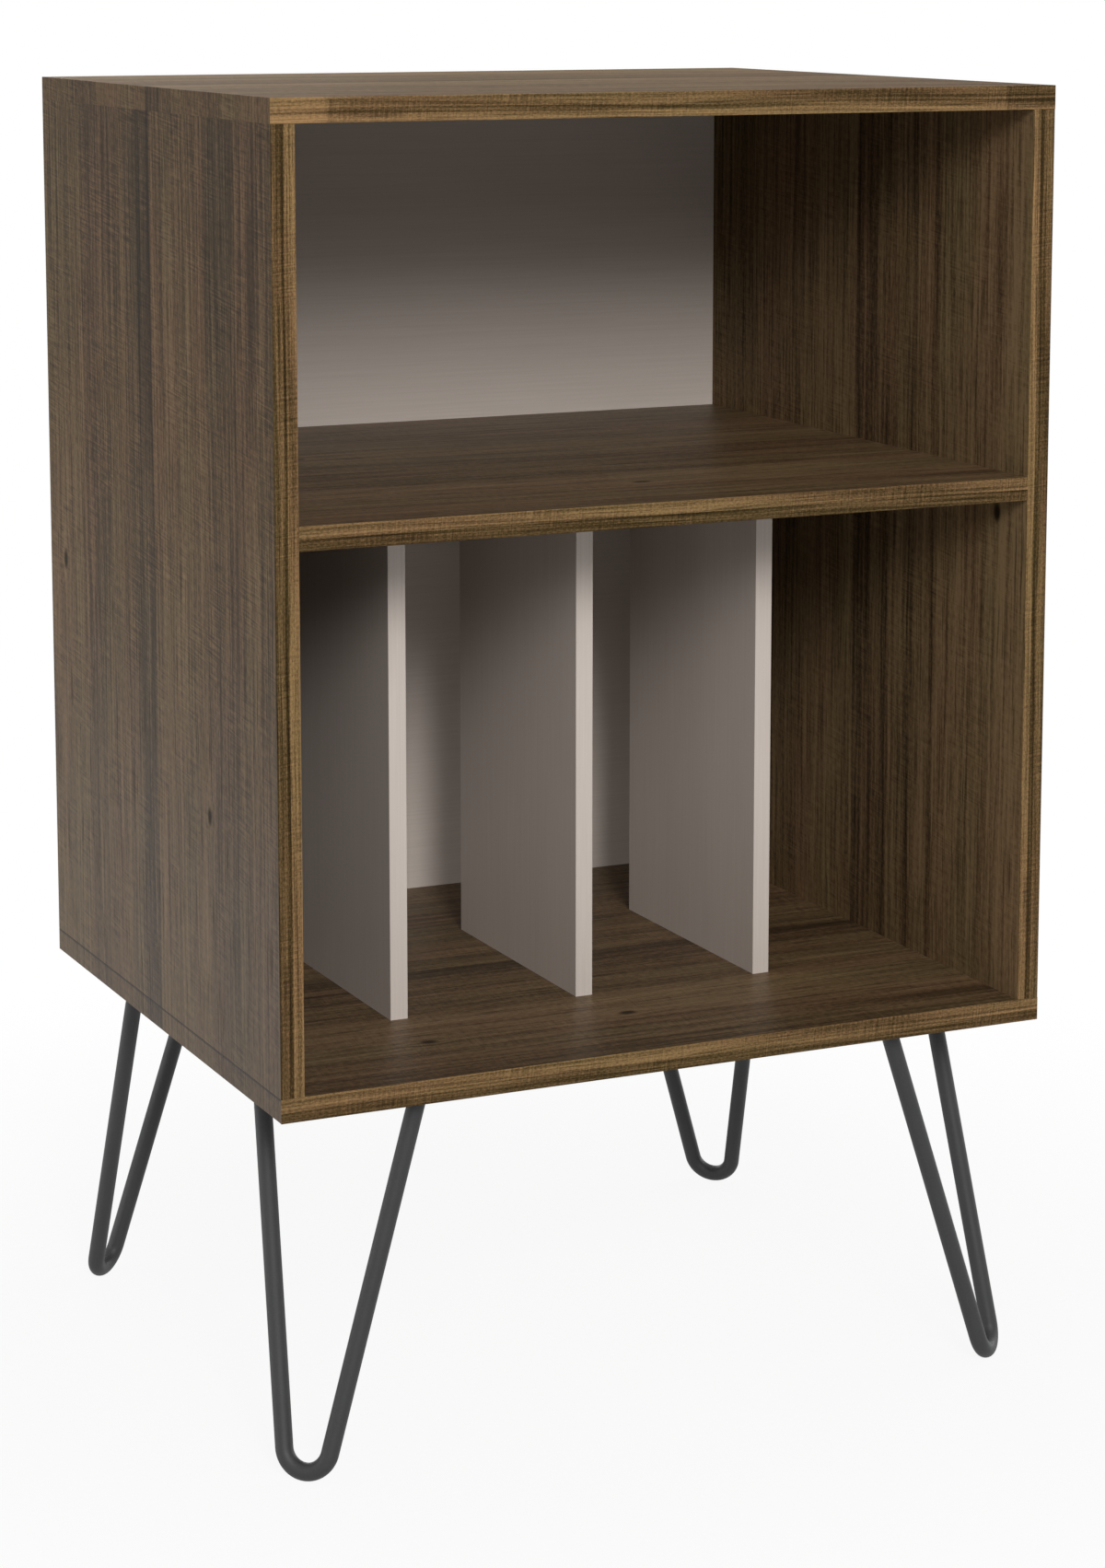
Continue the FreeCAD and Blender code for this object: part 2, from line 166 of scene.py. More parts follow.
class BoardCoreFinish(bpy.types.PropertyGroup):
    """What shows behind: sawn board edges and the raw face of the hardboard."""

    chip: colour("Chips", "Pale chips in a sawn edge", "#b59468")
    resin: colour("Resin", "Dark gaps between the chips", "#6d5233")
    hardboard: colour("Hardboard", "Raw rear face of the back panel", "#86684a")
    fibre: colour("Fibres", "Dark fibres in the hardboard", "#5f4830")
    chip_size: length("Chip size", "Usual length of a chip", 3.0)


class MetalFinish(bpy.types.PropertyGroup):
    """Powder coat on the legs, zinc on the steel fasteners, beech for the dowels."""

    coat: colour("Powder coat", "Main colour of the legs", "#2f2f30")
    coat_light: colour("Powder coat peaks", "Paler flecks in the coat", "#3b3b3c")
    # Drawn coarser than the real dimples, so that they show
    peel: length("Coat texture", "Size of the dimples in the coat", 0.9)
    zinc: colour("Zinc", "Bright plated steel", "#c3c4c2")
    zinc_dull: colour("Dull zinc", "Clouds in the plating", "#9b9c9a")
    beech: colour("Beech", "Bare wooden dowels", "#c9a77c")
    beech_dark: colour("Beech flecks", "Flecks in the beech", "#a5804f")


class LegSizes(bpy.types.PropertyGroup):
    """The hairpin rods, as the solids have them."""

    rod: length("Rod", "Diameter of the rod", 12.7)
    bend: length("Bend", "Radius of the bend at the foot, on the rod's middle line", 17.5)
    near: length("Near inset", "Rod to the nearer board edge, at the board", 27.0)
    far: length("Far inset", "Rod to the farther board edge, at the board", 111.3)
    foot: length("Foot inset", "Foot to both board edges", 23.2)
    bead: length("Weld bead", "How far the weld stands out from the rod", 2.5)


class StageSettings(bpy.types.PropertyGroup):
    """Floor, light and camera."""

    floor: colour("Floor", "Pale studio floor", "#cccccc")
    fleck: colour("Floor flecks", "Paler flecks in the floor's paint", "#d6d6d6")
    key: power("Key", "Power of the far lamp in front", 156.0)
    front: power("Front fill", "Power of the broad lamp in front", 54.0)
    over: power("Over", "Power of the lamp over the top", 14.0)
    side: power("Side fill", "Power of each lamp at the right and behind", 24.0)
    left: power("Left fill", "Power of the lamp at the left", 1.5)
    bounce: power("Bounce", "Power of the low lamp at the left", 4.5)
    fill: factor("Fill", "Strength of the white surroundings as light", 0.25)
    lens: FloatProperty(name="Lens", description="Focal length", default=84.7, unit="CAMERA")
    shift: FloatProperty(name="Shift", description="Upward shift of the lens", default=-0.17)
    place: FloatVectorProperty(
        name="Camera",
        description="Where the camera stands",
        default=(-1.1387, -2.4917, 1.0346),
        subtype="XYZ",
    )
    pitch: FloatProperty(
        name="Pitch",
        description="How far the camera looks down",
        default=math.radians(8.52),
        unit="ROTATION",
    )
    yaw: FloatProperty(
        name="Yaw",
        description="How far the camera turns to the right",
        default=math.radians(24.91),
        unit="ROTATION",
    )


class Grain:
    """How the print runs on one piece, in millimetres.

    along and across are axis letters. tones lists (millimetres across, tone) and blocks (millimetres along,
    tone), both counted from the piece's low corner. A tone runs from 0, dark, to 1, pale, and a block of 0.5
    changes nothing. knots lists (across, along, size) of knots, and painted_sheen (millimetres along, share)
    of a grey painted sheen that stands in for the floor's reflection. bold deepens the broad streaks, lines
    the fine ones and marks the saw marks. matte adds to the roughness, and gloss is the specular level.
    """

    def __init__(
        self, along, across, tones, blocks=(), knots=(), painted_sheen=(),
        bold=1.0, lines=1.0, marks=1.0, matte=0.0, gloss=0.05,
    ):
        self.along, self.across = along, across
        self.tones, self.blocks, self.knots, self.painted_sheen = tones, blocks, knots, painted_sheen
        self.bold, self.lines, self.marks = bold, lines, marks
        self.matte, self.gloss = matte, gloss


def mirrored(tones):
    """Plank tones counted from the rear edge of the carcass instead of the front edge."""
    return [(DEPTH_MM - mm, tone) for mm, tone in reversed(tones)]


# Plank tones of the boards, from the front edge to the rear edge
LEFT_TONES = [
    (0, 0.48), (70, 0.50), (73, 0.41), (130, 0.44), (132, 0.55), (243, 0.58), (245, 0.20), (251, 0.27),
    (258, 0.36), (266, 0.34), (271, 0.24), (275, 0.40), (280, 0.47), (302, 0.45), (305, 0.53), (362, 0.50),
    (366, 0.43), (400, 0.46), (403, 0.57), (494, 0.55),
]
RIGHT_TONES = [
    (0, 0.84), (36, 0.80), (40, 0.70), (124, 0.72), (127, 0.58), (132, 0.40), (136, 0.70), (158, 0.66),
    (164, 0.36), (172, 0.66), (196, 0.62), (201, 0.32), (208, 0.58), (222, 0.56), (226, 0.42), (233, 0.44),
    (236, 0.54), (241, 0.40), (250, 0.36), (252, 0.76), (258, 0.72), (340, 0.70), (343, 0.60), (420, 0.66),
    (423, 0.56), (494, 0.62),
]
SHELF_TONES = [
    (0, 0.46), (14, 0.48), (48, 0.53), (60, 0.58), (104, 0.60), (110, 0.67), (134, 0.66), (146, 0.56),
    (154, 0.50), (166, 0.55), (200, 0.54), (214, 0.50), (224, 0.54), (240, 0.51), (258, 0.49), (262, 0.63),
    (390, 0.58), (396, 0.52), (424, 0.51), (494, 0.52),
]
BOTTOM_TONES = [
    (0, 0.40), (14, 0.41), (30, 0.44), (44, 0.48), (56, 0.53), (70, 0.57), (98, 0.61), (106, 0.65),
    (138, 0.63), (142, 0.53), (190, 0.53), (206, 0.47), (236, 0.44), (240, 0.30), (254, 0.26), (258, 0.56),
    (300, 0.52), (392, 0.52), (395, 0.46), (494, 0.50),
]
TOP_TONES = [
    (0, 0.53), (60, 0.53), (98, 0.63), (133, 0.50), (173, 0.61), (220, 0.68), (250, 0.76), (266, 0.76),
    (269, 0.42), (290, 0.50), (330, 0.57), (362, 0.71), (390, 0.61), (432, 0.82), (494, 0.78),
]
TOP_KNOTS = [(130, 210, 1), (330, 420, 1)]
BOTTOM_KNOTS = [(82, 142, 1.5), (90, 302, 1.5), (240, 470, 1)]
SHELF_KNOTS = [(96, 299, 1.5), (310, 120, 1)]
LEFT_KNOTS = [(456, 301, 1.7), (134, 166, 1.4)]
RIGHT_KNOTS = [(40, 357, 1.7)]

# Painted light: the left side is darker towards its top and paler at its foot, where floor sheen is painted
# in
LEFT_PAINTED_FALLOFF = [(0, 0.56), (140, 0.53), (400, 0.48), (651, 0.40)]
LEFT_PAINTED_SHEEN = [(0, 0.30), (120, 0.26), (320, 0.07), (430, 0.0)]
FOOT_PAINTED_SHEEN = [(0, 0.30), (17, 0.30)]

# The shelf and the bottom have a broad, calm figure and more sheen
FLAT = {"bold": 2.2, "lines": 0.85, "marks": 0.6, "matte": -0.08, "gloss": 0.18}
BOARDS = {
    "top_panel": Grain("X", "Y", TOP_TONES, (), TOP_KNOTS, bold=2.0, matte=0.2, gloss=0.08),
    "bottom_panel": Grain("X", "Y", BOTTOM_TONES, (), BOTTOM_KNOTS, **FLAT),
    "middle_shelf": Grain("X", "Y", SHELF_TONES, (), SHELF_KNOTS, **FLAT),
    # The left side carries painted light along its height and a painted floor sheen at its foot
    "left_side_panel": Grain("Z", "Y", LEFT_TONES, LEFT_PAINTED_FALLOFF, LEFT_KNOTS, LEFT_PAINTED_SHEEN, lines=1.2, marks=1.2),
    "right_side_panel": Grain("Z", "Y", RIGHT_TONES, (), RIGHT_KNOTS, lines=1.4, marks=0.8),
}

# Tones of the front bands: upwards on the level ones, from left to right on the upright ones
TOP_BAND = [(0, 0.74), (4, 0.70), (6, 0.46), (12, 0.52), (17, 0.60)]
SHELF_BAND = [(0, 0.40), (7, 0.42), (7.6, 0.22), (8.4, 0.58), (11, 0.60), (17, 0.62)]
BOTTOM_BAND = [(0, 0.42), (6, 0.46), (8, 0.62), (17, 0.64)]
LEFT_BAND = [
    (0, 0.30), (1.2, 0.48), (6.5, 0.50), (7.5, 0.26), (8.8, 0.32), (9.6, 0.60), (12.4, 0.66), (12.9, 0.44),
    (13.4, 0.66), (16, 0.70), (17, 0.76),
]
RIGHT_BAND = [(0, 0.72), (5, 0.70), (6, 0.38), (9, 0.34), (11, 0.52), (15, 0.54), (17, 0.40)]

# The top's front band is paler at its left end and darker at its right end
TOP_BAND_ENDS = [(0, 0.70), (39, 0.70), (40, 0.5), (554, 0.5), (555, 0.36)]
# Painted shadow: a dark line along the upper edge of the bottom's end bands, in the joint under the sides
PAINTED_JOINT_SHADOW = [(0, 0.5), (15.2, 0.5), (15.6, 0.0), (17, 0.0)]
BANDS = {
    "top_front_edge_band": Grain("X", "Z", TOP_BAND, TOP_BAND_ENDS),
    "bottom_front_edge_band": Grain("X", "Z", BOTTOM_BAND),
    "shelf_front_edge_band": Grain("X", "Z", SHELF_BAND),
    "left_side_front_edge_band": Grain("Z", "X", LEFT_BAND),
    "right_side_front_edge_band": Grain("Z", "X", RIGHT_BAND),
}
# The bottom's end bands carry a painted joint shadow along their upper edge
END_BANDS = {
    "top_left_edge_band": Grain("Z", "Y", mirrored(LEFT_TONES)),
    "top_right_edge_band": Grain("Z", "Y", mirrored(RIGHT_TONES)),
    # Painted floor sheen lies over the left foot band, as over the left side's foot
    "bottom_left_edge_band": Grain("Z", "Y", LEFT_TONES, PAINTED_JOINT_SHADOW, painted_sheen=FOOT_PAINTED_SHEEN),
    "bottom_right_edge_band": Grain("Z", "Y", RIGHT_TONES, PAINTED_JOINT_SHADOW),
}

# A Mix node for colours. Its sockets 0, 6 and 7 are the share and the two colours.
COLOUR_MIX = {"out": 2, "data_type": "RGBA"}
# A Map Range node that eases. Sockets 1 to 4 of any Map Range are from min, from max, to min and to max.
EASED = {"interpolation_type": "SMOOTHSTEP"}


def add(tree, kind, inputs=(), out=0, stops=(), **settings):
    """Adds a shader node with its settings and links, and returns one of its outputs.

    inputs maps sockets to values or to other sockets. stops lists a ramp's (place, grey tone or colour).
    """
    node = tree.nodes.new("ShaderNode" + kind)
    for key, value in settings.items():
        setattr(node, key, value)
    for _ in stops[2:]:
        node.color_ramp.elements.new(1.0)
    for k, (place, tone) in enumerate(stops):
        shade = rgba(tone) if hasattr(tone, "__len__") else (tone, tone, tone, 1.0)
        node.color_ramp.elements[k].position = place
        node.color_ramp.elements[k].color = shade
    for key, value in dict(inputs).items():
        if isinstance(value, bpy.types.NodeSocket):
            tree.links.new(value, node.inputs[key])
        else:
            node.inputs[key].default_value = value
    return node.outputs[out] if node.outputs else node


def new_material(name):
    """An empty node material and its tree."""
    material = bpy.data.materials.new(name)
    material.use_nodes = True
    material.node_tree.nodes.clear()
    return material, material.node_tree


def finish_surface(tree, inputs):
    """Ends a tree in a Principled surface."""
    surface = add(tree, "BsdfPrincipled", inputs)
    add(tree, "OutputMaterial", {"Surface": surface})


def put_on(material, names):
    """Gives CAD nodes a material in place of their plain one."""
    for name in names:
        slots = NODES[name].data.materials
        slots.clear()
        slots.append(material)


def scale_for(size_mm):
    """The scale of a noise on Object coordinates whose features are about size_mm wide."""
    return 1 / (size_mm * MM)


def profile_tone(tree, distance, span_mm, stops):
    """A tone that changes with a distance in millimetres over a span. stops lists (millimetres, tone)."""
    share = add(tree, "Math", {0: distance, 1: span_mm}, operation="DIVIDE")
    return add(tree, "ValToRGB", {0: share}, stops=[(mm / span_mm, tone) for mm, tone in stops])


def grain_place(tree, node_name, grain):
    """Places in millimetres from a node's low corner: X across the grain, Y along it, alike on both faces."""
    place = add(tree, "TexCoord", out="Object")
    local = add(tree, "VectorMath", {0: place, 1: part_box(node_name)[0]}, operation="SUBTRACT")
    axes = add(tree, "SeparateXYZ", {0: local}).node.outputs
    turned = add(tree, "CombineXYZ", {"X": axes[grain.across], "Y": axes[grain.along]})
    return add(tree, "VectorMath", {0: turned, "Scale": 1 / MM}, operation="SCALE")


def streaks(tree, place, across_mm, along_mm, detail=2.0, roughness=0.5):
    """Noise drawn out along the grain: features about across_mm wide and along_mm long."""
    scale = (1 / across_mm, 1 / along_mm, 1 / across_mm)
    stretched = add(tree, "VectorMath", {0: place, 1: scale}, operation="MULTIPLY")
    noise = {"Vector": stretched, "Scale": 1.0, "Detail": detail, "Roughness": roughness}
    return add(tree, "TexNoise", noise)


def weighted(tree, terms, start):
    """start plus the sum of weight times (value minus one half) over the terms."""
    total = start
    for value, weight in terms:
        centred = add(tree, "Math", {0: value, 1: -0.5}, operation="ADD")
        total = add(tree, "Math", {0: centred, 1: weight, 2: total}, operation="MULTIPLY_ADD")
    return total


# Half axes of a knot of size 1
KNOT_ACROSS_MM = 3.0
KNOT_ALONG_MM = 5.0


def knot_marks(tree, place, knots):
    """Bends the grain round each knot and returns (bent place, darkness of the knots).

    A knot is an ellipse. Its darkness falls from 1 at 0.4 of the half axes to 0 at 1.3 of them, and the
    grain is drawn towards its middle line out to four times the half axes.
    """
    darkness = 0.0
    for across, along, size in knots:
        shrink = (1 / KNOT_ACROSS_MM / size, 1 / KNOT_ALONG_MM / size, 0)
        offset = add(tree, "VectorMath", {0: place, 1: (across, along, 0)}, operation="SUBTRACT")
        reach = add(tree, "VectorMath", {0: offset, 1: shrink}, operation="MULTIPLY")
        away = add(tree, "VectorMath", {0: reach}, out="Value", operation="LENGTH")
        core = add(tree, "MapRange", {0: away, 1: 0.4, 2: 1.3, 3: 1.0, 4: 0.0}, **EASED)
        halo = add(tree, "MapRange", {0: away, 1: 0.6, 2: 4.0, 3: 0.55, 4: 0.0}, **EASED)
        sideways = add(tree, "VectorMath", {0: offset, 1: (1, 0, 0)}, operation="MULTIPLY")
        pulled = add(tree, "VectorMath", {0: sideways, "Scale": halo}, operation="SCALE")
        place = add(tree, "VectorMath", {0: place, 1: pulled}, operation="SUBTRACT")
        darkness = add(tree, "Math", {0: darkness, 1: core}, operation="MAXIMUM")
    return place, darkness


def swayed(tree, place, across_mm, along_mm, by_mm):
    """The place moved sideways by a slow noise, so that straight grain lines wander by about by_mm."""
    drift = streaks(tree, place, across_mm, along_mm, detail=1.0)
    sideways = add(tree, "CombineXYZ", {"X": add(tree, "Math", {0: drift, 1: by_mm}, operation="MULTIPLY")})
    return add(tree, "VectorMath", {0: place, 1: sideways}, operation="ADD")


# How much each kind of streak moves the tone of the print
BROAD_WEIGHT = 0.2
MIDDLING_WEIGHT = 0.25
FINE_WEIGHT = 1.1
TOOTH_WEIGHT = 0.7
# The slow wander of all grain lines: how wide, how long and how far
WANDER_MM = (90.0, 380.0, 9.0)
# Patches where the saw marks are deepest, the share of that depth elsewhere, and the marks' tilt
SAW_PATCH_MM = (50.0, 60.0)
SAW_SHARE = 0.35
SAW_TILT = math.radians(-6)


def print_tone(tree, place, wavy, planks, grain, finish):
    """Tone of the print, and its fine streaks alone.

    The tone is the piece's own plank profile, plus broad, middling and fine streaks drawn out along the
    grain, a short tooth, and saw marks across the grain that are deeper in patches.
    """
    line, run, saw = finish.grain / MM, finish.run / MM, finish.saw_mark / MM
    broad = streaks(tree, wavy, line * 10, run * 3)
    middling = streaks(tree, wavy, line * 4, run)
    fine = streaks(tree, wavy, line * 1.6, run * 0.9, detail=3.0, roughness=0.6)
    tooth = streaks(tree, place, line * 0.8, line * 2.2)
    tilted = add(tree, "VectorRotate", {"Vector": place, "Angle": SAW_TILT}, rotation_type="Z_AXIS")
    marks = streaks(tree, tilted, saw * 12, saw * 0.5)
    patches = streaks(tree, place, *SAW_PATCH_MM, detail=1.0)
    depth = finish.saw_depth * grain.marks
    marked = add(tree, "MapRange", {0: patches, 1: 0.42, 2: 0.62, 3: depth * SAW_SHARE, 4: depth})
    terms = [
        (broad, BROAD_WEIGHT * grain.bold),
        (middling, MIDDLING_WEIGHT * grain.bold),
        (fine, FINE_WEIGHT * grain.lines),
        (tooth, TOOTH_WEIGHT),
        (marks, marked),
    ]
    return weighted(tree, terms, planks), fine


def dark_marks(tree, place, wavy, knots, finish):
    """Share of dark ink: thin pores along the grain, short cracks across it, and knots."""
    line, run, saw = finish.grain / MM, finish.run / MM, finish.saw_mark / MM
    pores = streaks(tree, wavy, line * 0.8, run * 0.25, detail=1.0)
    thin = add(tree, "MapRange", {0: pores, 1: 0.57, 2: 0.68, 3: 0.0, 4: 0.5})
    cuts = streaks(tree, place, saw * 3, saw * 0.5, detail=1.0)
    cracks = add(tree, "MapRange", {0: cuts, 1: 0.70, 2: 0.78, 3: 0.0, 4: finish.saw_depth * 0.45})
    lines = add(tree, "Math", {0: thin, 1: cracks}, operation="MAXIMUM")
    return add(tree, "Math", {0: lines, 1: knots}, operation="MAXIMUM")


def printed_wood(tree, place, across_span_mm, along_span_mm, grain, finish):
    """Colour and height of a printed wood grain.

    The tone of the print picks the colour. A slow tint then runs from rosy to olive, a grey painted sheen
    that stands in for the floor's reflection lies over part of some pieces, and the dark marks come last. The
    fine streaks stand up, and the dark marks are sunk.
    """
    line, run = finish.grain / MM, finish.run / MM
    axes = add(tree, "SeparateXYZ", {0: place}).node.outputs
    planks = profile_tone(tree, axes["X"], across_span_mm, grain.tones)
    bent, knots = knot_marks(tree, place, grain.knots)
    wavy = swayed(tree, swayed(tree, bent, *WANDER_MM), line * 8, run * 0.4, line * 0.8)
    tone, fine = print_tone(tree, place, wavy, planks, grain, finish)
    if grain.blocks:
        tone = weighted(tree, [(profile_tone(tree, axes["Y"], along_span_mm, grain.blocks), 1.0)], tone)
    stops = [(0.02, finish.streak), (0.32, finish.dark), (0.55, finish.middle), (0.95, finish.light)]
    wood = add(tree, "ValToRGB", {0: tone}, stops=stops)
    slow = streaks(tree, wavy, line * 20, run * 1.5)
    tint = add(tree, "ValToRGB", {0: slow}, stops=[(0.36, finish.rosy), (0.64, finish.olive)])
    tinted = add(tree, "Mix", {0: 1.0, 6: wood, 7: tint}, blend_type="MULTIPLY", **COLOUR_MIX)
    # Painted sheen: grey mixed into the print where the white floor's reflection is painted in
    if grain.painted_sheen:
        share = profile_tone(tree, axes["Y"], along_span_mm, grain.painted_sheen)
        tinted = add(tree, "Mix", {0: share, 6: tinted, 7: rgba(finish.grey)}, **COLOUR_MIX)
    dark = dark_marks(tree, place, wavy, knots, finish)
    inked = add(tree, "Mix", {0: dark, 6: tinted, 7: rgba(finish.streak)}, **COLOUR_MIX)
    height = add(tree, "Math", {0: fine, 1: dark}, operation="SUBTRACT")
    return inked, height


def pressed_relief(tree, height, roughness, depth_mm):
    """Roughness and bump of a pressed print, a little duller where it is sunk."""
    rough = add(tree, "MapRange", {0: height, 3: roughness + 0.06, 4: roughness - 0.04})
    bump = add(tree, "Bump", {"Strength": 0.25, "Distance": depth_mm * MM, "Height": height})
    return {"Roughness": rough, "Normal": bump}


def spans_mm(node_name):
    """A node's size in millimetres along each axis letter."""
    low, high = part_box(node_name)
    return {axis: (high[k] - low[k]) / MM for k, axis in enumerate("XYZ")}


def sawn_edge(tree, core):
    """Colour of a raw particleboard edge: pale chips of mixed tone in dark resin."""
    place = add(tree, "TexCoord", out="Object")
    cell = {"Vector": place, "Scale": 1 / core.chip_size, "Randomness": 1.0}
    tone = add(tree, "RGBToBW", {0: add(tree, "TexVoronoi", cell, out="Color")})
    return add(tree, "ValToRGB", {0: tone}, stops=[(0.1, core.resin), (0.75, core.chip)])


def facing_y(tree, low, high):
    """1 on faces whose normal points along +Y by more than the high share, 0 below the low share."""
    normal = add(tree, "NewGeometry", out="Normal")
    share = add(tree, "SeparateXYZ", {0: normal}, out="Y")
    return add(tree, "MapRange", {0: share, 1: low, 2: high})


def laminate(node_name, grain, finish, core):
    """Melamine-faced particleboard, pressed with a printed wood grain.

    It gives the eye straight printed planks under an even satin skin, and raw chips on the sawn rear edge.
    """
    material, tree = new_material("walnut_laminate_" + node_name)
    place = grain_place(tree, node_name, grain)
    along_span = spans_mm(node_name)[grain.along]
    wood, height = printed_wood(tree, place, DEPTH_MM, along_span, grain, finish)
    behind = facing_y(tree, 0.90, 0.95)
    base = add(tree, "Mix", {0: behind, 6: wood, 7: sawn_edge(tree, core)}, **COLOUR_MIX)
    relief = pressed_relief(tree, height, finish.roughness + grain.matte, 0.06)
    finish_surface(tree, {"Base Color": base, "Specular IOR Level": grain.gloss, **relief})
    return material


def edge_band(node_name, grain, finish):
    """Thin wood-look edging, printed like the boards, ironed on and trimmed.

    It gives the eye dark streaks along each front edge, more golden than the boards, and planks like those
    of the sides on the ends of the top and the bottom.
    """
    material, tree = new_material("walnut_edge_band_" + node_name)
    place = grain_place(tree, node_name, grain)
    spans = spans_mm(node_name)
    wood, height = printed_wood(tree, place, spans[grain.across], spans[grain.along], grain, finish)
    relief = pressed_relief(tree, height, finish.roughness, 0.05)
    finish_surface(tree, {"Base Color": wood, "Specular IOR Level": grain.gloss, **relief})
    return material


def taupe_colour(tree, place, taupe):
    """Colour and lines of the foil: fine lines along Y and a faint cloudiness."""
    line_mm = taupe.line / MM
    lines = streaks(tree, place, line_mm, line_mm * 90, detail=3.0, roughness=0.6)
    clouds = streaks(tree, place, across_mm=60.0, along_mm=160.0)
    tone = weighted(tree, [(lines, 0.9), (clouds, 0.35)], 0.5)
    return add(tree, "ValToRGB", {0: tone}, stops=[(0.2, taupe.brushed), (0.8, taupe.foil)]), lines


def upright_place(tree):
    """Places in millimetres with Y upwards: X is the sum of width and depth, and Z is the depth."""
    axes = add(tree, "SeparateXYZ", {0: add(tree, "TexCoord", out="Object")}).node.outputs
    across = add(tree, "Math", {0: axes["X"], 1: axes["Y"]}, operation="ADD")
    turned = add(tree, "CombineXYZ", {"X": across, "Y": axes["Z"], "Z": axes["Y"]})
    return add(tree, "VectorMath", {0: turned, "Scale": 1 / MM}, operation="SCALE")


def taupe_foil(taupe):
    """Paper foil printed taupe and lacquered matte. It gives the eye an even warm grey with faint lines."""
    material, tree = new_material("taupe_foil")
    base, lines = taupe_colour(tree, upright_place(tree), taupe)
    bump = add(tree, "Bump", {"Strength": 0.15, "Distance": 0.04 * MM, "Height": lines})
    dull, shiny = taupe.roughness + 0.05, taupe.roughness - 0.05
    rough = add(tree, "MapRange", {0: lines, 1: 0.3, 2: 0.7, 3: dull, 4: shiny})
    surface = {"Base Color": base, "Roughness": rough, "Normal": bump, "Specular IOR Level": 0.35}
    finish_surface(tree, surface)
    return material


def back_board(taupe, core):
    """Hardboard with taupe foil on its front only. From behind it gives the eye raw brown pressed fibre."""
    material, tree = new_material("taupe_foil_hardboard")
    place = upright_place(tree)
    level = add(tree, "VectorRotate", {"Vector": place, "Angle": math.radians(90)}, rotation_type="Z_AXIS")
    foil = taupe_colour(tree, level, taupe)[0]
    # The fibres are drawn coarser than real ones, so that they show
    fibre = streaks(tree, place, across_mm=1.1, along_mm=3.0, detail=4.0, roughness=0.7)
    mottle = streaks(tree, place, across_mm=38.0, along_mm=38.0, detail=3.0)
    tone = weighted(tree, [(fibre, 1.2), (mottle, 0.5)], 0.6)
    raw = add(tree, "ValToRGB", {0: tone}, stops=[(0.1, core.fibre), (0.7, core.hardboard)])
    behind = facing_y(tree, -0.5, 0.5)
    base = add(tree, "Mix", {0: behind, 6: foil, 7: raw}, **COLOUR_MIX)
    rough = add(tree, "MapRange", {0: behind, 3: taupe.roughness, 4: 0.75})
    bump = add(tree, "Bump", {"Strength": 0.2, "Distance": 0.05 * MM, "Height": fibre})
    surface = {"Base Color": base, "Roughness": rough, "Normal": bump, "Specular IOR Level": 0.15}
    finish_surface(tree, surface)
    return material


def powder_coat(metal):
    """Black polyester powder baked on steel. It gives the eye a dark grey, dimpled skin of low sheen."""
    material, tree = new_material("black_powder_coat")
    place = add(tree, "TexCoord", out="Object")
    dimples = add(tree, "TexNoise", {"Vector": place, "Scale": 1 / metal.peel, "Detail": 2.0})
    clouds = add(tree, "TexNoise", {"Vector": place, "Scale": scale_for(40), "Detail": 2.0})
    tone = weighted(tree, [(dimples, 0.8), (clouds, 0.6)], 0.45)
    base = add(tree, "ValToRGB", {0: tone}, stops=[(0.25, metal.coat), (0.85, metal.coat_light)])
    rough = add(tree, "MapRange", {0: clouds, 1: 0.3, 2: 0.7, 3: 0.52, 4: 0.62})
    bump = add(tree, "Bump", {"Strength": 0.2, "Distance": 0.12 * MM, "Height": dimples})
    surface = {"Base Color": base, "Roughness": rough, "Normal": bump, "Specular IOR Level": 0.35}
    finish_surface(tree, surface)
    return material


def zinc_plate(metal):
    """Steel with bright zinc plating. It gives the eye a cool metal with soft cloudy patches."""
    material, tree = new_material("zinc_plated_steel")
    place = add(tree, "TexCoord", out="Object")
    clouds = add(tree, "TexNoise", {"Vector": place, "Scale": scale_for(3), "Detail": 3.0})
    base = add(tree, "ValToRGB", {0: clouds}, stops=[(0.3, metal.zinc_dull), (0.7, metal.zinc)])
    rough = add(tree, "MapRange", {0: clouds, 1: 0.3, 2: 0.7, 3: 0.45, 4: 0.3})
    finish_surface(tree, {"Base Color": base, "Roughness": rough, "Metallic": 1.0})
    return material


def bare_beech(metal):
    """Turned beech left bare. It gives the eye a pale wood with short darker flecks."""
    material, tree = new_material("bare_beech")
    place = add(tree, "TexCoord", out="Object")
    place_mm = add(tree, "VectorMath", {0: place, "Scale": 1 / MM}, operation="SCALE")
    flecks = streaks(tree, place_mm, across_mm=0.6, along_mm=4.0)
    base = add(tree, "ValToRGB", {0: flecks}, stops=[(0.4, metal.beech_dark), (0.62, metal.beech)])
    rough = add(tree, "MapRange", {0: flecks, 1: 0.4, 2: 0.62, 3: 0.75, 4: 0.65})
    bump = add(tree, "Bump", {"Strength": 0.2, "Distance": 0.05 * MM, "Height": flecks})
    finish_surface(tree, {"Base Color": base, "Roughness": rough, "Normal": bump})
    return material


class StandOperator:
    """What the stand's operators share."""

    bl_options = {"REGISTER", "UNDO"}


class STAND_OT_boards(StandOperator, bpy.types.Operator):
    """Finish the carcass boards and the shelf with printed wood laminate"""

    bl_idname = "stand.finish_boards"
    bl_label = "Finish boards"

    def execute(self, context):
        scene = context.scene
        for name, grain in BOARDS.items():
            covers = ["cam_cover_caps"] if name == "right_side_panel" else []
            put_on(laminate(name, grain, scene.stand_laminate, scene.stand_core), [name] + covers)
        return {"FINISHED"}


